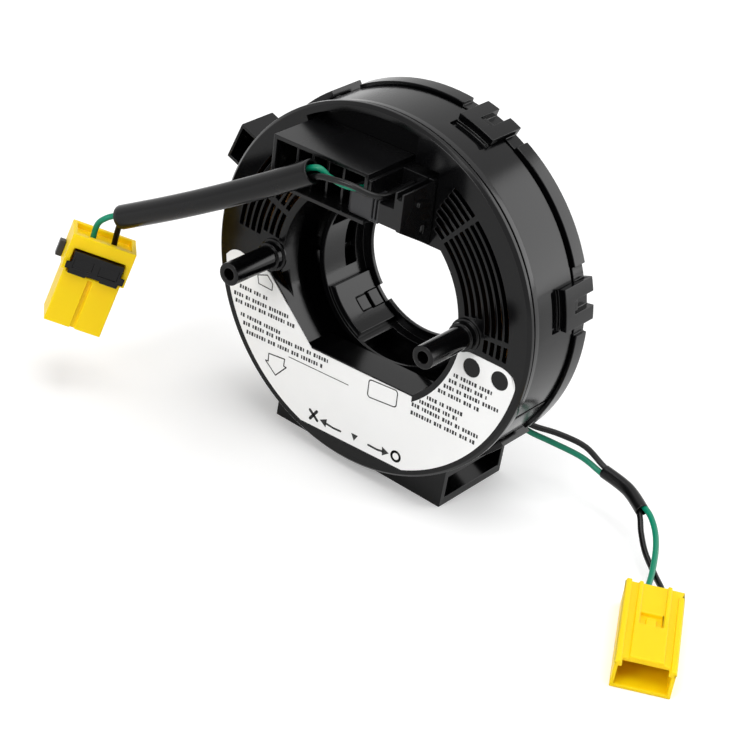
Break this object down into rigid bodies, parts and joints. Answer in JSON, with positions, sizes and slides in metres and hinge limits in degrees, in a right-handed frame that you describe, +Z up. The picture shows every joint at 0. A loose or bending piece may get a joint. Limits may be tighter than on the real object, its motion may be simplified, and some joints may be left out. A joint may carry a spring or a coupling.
{
  "type": "steering clock spring",
  "caption": "Steering clock spring: spiral cable unit with a turning rotor plate, two posts, a header, and two leads with yellow plugs, standing on its foot.",
  "frame": {"origin": "centre of the column bore, on the rear face of the unit", "axes": "+X to the right as the driver sees it, +Y along the column axis away from the driver, +Z up"},
  "size_m": [0.1968, 0.0779, 0.1027],
  "materials": {
    "black_gloss": "satin gloss",
    "black_satin": "satin",
    "wire_black": "satin",
    "sleeve_black": "satin",
    "wire_green": "satin",
    "yellow": "satin",
    "grey": "satin",
    "label_white": "satin",
    "tin": "bright",
    "film": "clear"
  },
  "bodies": {
    "stator": {"drum": "black_gloss", "rear_cover": "black_gloss", "slide_film": "film", "outer_cable_block": "black_satin", "foot_terminals": "tin", "side_terminals": "tin", "lead_grommet": "black_satin", "rear_black_wire": "wire_black", "rear_green_wire": "wire_green", "rear_shrink_tube": "sleeve_black", "rear_black_tail": "wire_black", "rear_green_tail": "wire_green", "rear_connector": "yellow", "rear_connector_terminals": "tin", "flat_cable": "film"},
    "rotor": {"rotor_plate": "black_gloss", "hub_sleeve": "black_gloss", "label": "label_white", "header": "black_gloss", "header_terminals": "tin", "wire_retainer": "grey", "inner_cable_block": "black_satin", "front_black_wire": "wire_black", "front_green_wire": "wire_green", "front_sleeve": "sleeve_black", "front_black_tail": "wire_black", "front_green_tail": "wire_green", "front_plug": "yellow", "plug_latch": "grey", "plug_terminals": "tin"},
    "lock": {"plug_lock": "black_satin"}
  },
  "joints": [
    {"name": "rotor_turn", "type": "hinge", "parent": "stator", "child": "rotor", "pos_m": [0, 0, 0], "axis": [0, 1, 0], "range_deg": [-900, 900]},
    {"name": "lock_slide", "type": "slide", "parent": "rotor", "child": "lock", "axis": [-0.6823, 0.7186, -0.1347], "range_m": [0, 0.001]}
  ]
}
